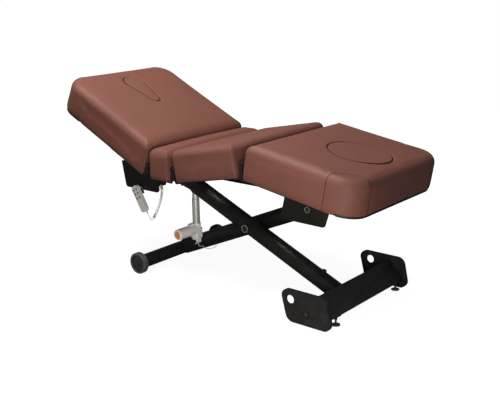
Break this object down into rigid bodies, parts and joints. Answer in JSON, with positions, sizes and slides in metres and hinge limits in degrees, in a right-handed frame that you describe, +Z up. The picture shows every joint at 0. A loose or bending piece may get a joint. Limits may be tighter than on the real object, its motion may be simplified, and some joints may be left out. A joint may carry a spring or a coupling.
{
  "type": "massage table",
  "caption": "Electric massage table on a scissor base with a column drive: raised back with face plug, lumbar strip, thigh and leg sections, floor wheels and a hanging handset.",
  "frame": {"origin": "on the floor under the middle of the table's box", "axes": "+X towards the foot end, +Y towards the far side, +Z up; drawn as pictured, with the back and the knees raised"},
  "size_m": [1.9978, 0.78, 1.0588],
  "materials": {
    "powder_coat": "satin",
    "steel": "satin",
    "foot_rubber": "matte",
    "roller_plastic": "matte",
    "wheel_plastic": "satin",
    "tread": "matte",
    "pale_plastic": "satin",
    "orange": "satin",
    "black_plastic": "satin",
    "board": "satin",
    "upholstery": "satin",
    "cord": "satin",
    "key_plastic": "satin"
  },
  "bodies": {
    "foot": {"foot_plates": "powder_coat", "foot_beam": "powder_coat", "foot_axle": "steel"},
    "levelling_near": {"levelling_foot_near": "foot_rubber"},
    "levelling_far": {"levelling_foot_far": "foot_rubber"},
    "foot_arm": {"arm_a_tube": "powder_coat", "pivot_bolt": "steel", "top_cross_axle": "steel"},
    "roller_near": {"roller_near": "roller_plastic"},
    "roller_far": {"roller_far": "roller_plastic"},
    "wheel_arm": {"arm_b_tube": "powder_coat", "wheel_cross_tube": "powder_coat", "wheel_bolts": "steel", "motor_lead": "cord"},
    "wheel_near": {"wheel_near": "wheel_plastic", "tyre_near": "tread"},
    "wheel_far": {"wheel_far": "wheel_plastic", "tyre_far": "tread"},
    "lift_drive": {"gear_housing": "pale_plastic", "motor_cover": "pale_plastic", "motor_disc": "orange", "lift_column": "steel", "lift_screw": "steel"},
    "lift_rod": {"lift_rod": "steel"},
    "table_frame": {"side_rails": "powder_coat", "cross_members": "powder_coat", "foot_gussets": "powder_coat", "head_gussets": "powder_coat", "top_axle": "steel", "control_box": "black_plastic", "handset_hanger": "powder_coat", "lumbar_board": "board", "lumbar_cushion": "upholstery", "hinge_ears": "powder_coat", "hinge_pins": "steel", "handset_curl": "cord", "handset_lead": "cord"},
    "back": {"back_board": "board", "back_cushion": "upholstery", "back_hinges": "powder_coat"},
    "face_plug": {"face_plug": "upholstery"},
    "back_drive": {"back_drive_body": "black_plastic"},
    "back_rod": {"back_drive_rod": "steel"},
    "seat": {"seat_board": "board", "seat_cushion": "upholstery", "seat_hinges": "powder_coat", "knee_pins": "steel"},
    "leg": {"leg_board": "board", "leg_cushion": "upholstery", "leg_hinges": "powder_coat"},
    "leg_plug": {"leg_plug": "upholstery"},
    "knee_drive": {"knee_drive_body": "black_plastic"},
    "knee_rod": {"knee_drive_rod": "steel"},
    "handset": {"handset_shell": "pale_plastic"},
    "key_1": {"key_1": "key_plastic"},
    "key_2": {"key_2": "key_plastic"},
    "key_3": {"key_3": "key_plastic"},
    "key_4": {"key_4": "key_plastic"},
    "key_5": {"key_5": "key_plastic"},
    "key_6": {"key_6": "key_plastic"}
  },
  "joints": [
    {"name": "level_near", "type": "slide", "parent": "foot", "child": "levelling_near", "axis": [0, 0, 1], "range_m": [-0.004, 0.002]},
    {"name": "level_far", "type": "slide", "parent": "foot", "child": "levelling_far", "axis": [0, 0, 1], "range_m": [-0.004, 0.002]},
    {"name": "lift", "type": "hinge", "parent": "foot", "child": "foot_arm", "pos_m": [0.70325, -0.05, 0.06], "axis": [0, 1, 0], "range_deg": [-5, 9]},
    {"name": "track_roll_near", "type": "hinge", "parent": "foot_arm", "child": "roller_near", "pos_m": [-0.30567, -0.115, 0.49451], "axis": [0, 1, 0], "continuous": true},
    {"name": "track_roll_far", "type": "hinge", "parent": "foot_arm", "child": "roller_far", "pos_m": [-0.30567, 0.115, 0.49451], "axis": [0, 1, 0], "continuous": true},
    {"name": "crossing", "type": "hinge", "parent": "foot_arm", "child": "wheel_arm", "pos_m": [0.12003, 0, 0.31117], "axis": [0, 1, 0], "range_deg": [-18.01, 10.01]},
    {"name": "wheel_roll_near", "type": "hinge", "parent": "wheel_arm", "child": "wheel_near", "pos_m": [-0.46318, -0.3277, 0.06], "axis": [0, 1, 0], "continuous": true},
    {"name": "wheel_roll_far", "type": "hinge", "parent": "wheel_arm", "child": "wheel_far", "pos_m": [-0.46318, 0.3277, 0.06], "axis": [0, 1, 0], "continuous": true},
    {"name": "frame_tilt", "type": "hinge", "parent": "wheel_arm", "child": "table_frame", "pos_m": [0.54573, 0.05, 0.49451], "axis": [0, 1, 0], "range_deg": [-5.01, 9.01]},
    {"name": "drive_foot", "type": "hinge", "parent": "wheel_arm", "child": "lift_drive", "pos_m": [-0.30565, -0.021, 0.13993], "axis": [0, 1, 0], "range_deg": [-5.01, 9.01]},
    {"name": "drive_stroke", "type": "slide", "parent": "lift_drive", "child": "lift_rod", "axis": [0, 0, 1], "range_m": [-0.0726, 0.1306]},
    {"name": "back_tilt", "type": "hinge", "parent": "table_frame", "child": "back", "pos_m": [-0.30567, 0, 0.64451], "axis": [0, 1, 0], "range_deg": [-25.5, 5]},
    {"name": "face_plug_lift", "type": "slide", "parent": "back", "child": "face_plug", "axis": [0.4305, 0, 0.9026], "range_m": [0, 0.2]},
    {"name": "back_drive_foot", "type": "hinge", "parent": "table_frame", "child": "back_drive", "pos_m": [-0.36467, 0, 0.52051], "axis": [0, 1, 0], "range_deg": [-22.41, 4.4]},
    {"name": "back_drive_stroke", "type": "slide", "parent": "back_drive", "child": "back_rod", "axis": [-0.7711, 0, 0.6367], "range_m": [-0.05833, 0.01152]},
    {"name": "knee_raise", "type": "hinge", "parent": "table_frame", "child": "seat", "pos_m": [-0.12967, 0, 0.64451], "axis": [0, -1, 0], "range_deg": [-11.3, 8.7]},
    {"name": "knee_fold", "type": "hinge", "parent": "seat", "child": "leg", "pos_m": [0.32926, 0, 0.73621], "axis": [0, 1, 0], "range_deg": [-20.71, 15.95]},
    {"name": "leg_plug_lift", "type": "slide", "parent": "leg", "child": "leg_plug", "axis": [0.1634, 0, 0.9866], "range_m": [0, 0.2]},
    {"name": "knee_drive_foot", "type": "hinge", "parent": "table_frame", "child": "knee_drive", "pos_m": [0.35933, 0, 0.54451], "axis": [0, 1, 0], "range_deg": [-2.15, 1.66]},
    {"name": "knee_drive_stroke", "type": "slide", "parent": "knee_drive", "child": "knee_rod", "axis": [-0.9994, 0, 0.0333], "range_m": [-0.01302, 0.01688]},
    {"name": "handset_lift", "type": "slide", "parent": "table_frame", "child": "handset", "axis": [-0.5165, 0, 0.8563], "range_m": [0, 0.03]},
    {"name": "key_press_1", "type": "slide", "parent": "handset", "child": "key_1", "axis": [0, 1, 0], "range_m": [0, 0.0015], "stiffness_N_per_m": 400, "springref_m": -0.0005},
    {"name": "key_press_2", "type": "slide", "parent": "handset", "child": "key_2", "axis": [0, 1, 0], "range_m": [0, 0.0015], "stiffness_N_per_m": 400, "springref_m": -0.0005},
    {"name": "key_press_3", "type": "slide", "parent": "handset", "child": "key_3", "axis": [0, 1, 0], "range_m": [0, 0.0015], "stiffness_N_per_m": 400, "springref_m": -0.0005},
    {"name": "key_press_4", "type": "slide", "parent": "handset", "child": "key_4", "axis": [0, 1, 0], "range_m": [0, 0.0015], "stiffness_N_per_m": 400, "springref_m": -0.0005},
    {"name": "key_press_5", "type": "slide", "parent": "handset", "child": "key_5", "axis": [0, 1, 0], "range_m": [0, 0.0015], "stiffness_N_per_m": 400, "springref_m": -0.0005},
    {"name": "key_press_6", "type": "slide", "parent": "handset", "child": "key_6", "axis": [0, 1, 0], "range_m": [0, 0.0015], "stiffness_N_per_m": 400, "springref_m": -0.0005}
  ],
  "couplings": [
    {"joint": "crossing", "follows": "lift", "ratio": -2},
    {"joint": "frame_tilt", "follows": "lift", "ratio": 1},
    {"joint": "drive_foot", "follows": "lift", "ratio": 1},
    {"joint": "drive_stroke", "follows": "lift", "m_per_rad": 0.8308},
    {"joint": "back_drive_foot", "follows": "back_tilt", "ratio": 0.8785},
    {"joint": "back_drive_stroke", "follows": "back_tilt", "m_per_rad": 0.13083},
    {"joint": "knee_fold", "follows": "knee_raise", "ratio": 1.832},
    {"joint": "knee_drive_foot", "follows": "knee_raise", "ratio": 0.1898},
    {"joint": "knee_drive_stroke", "follows": "knee_raise", "m_per_rad": -0.08508}
  ]
}
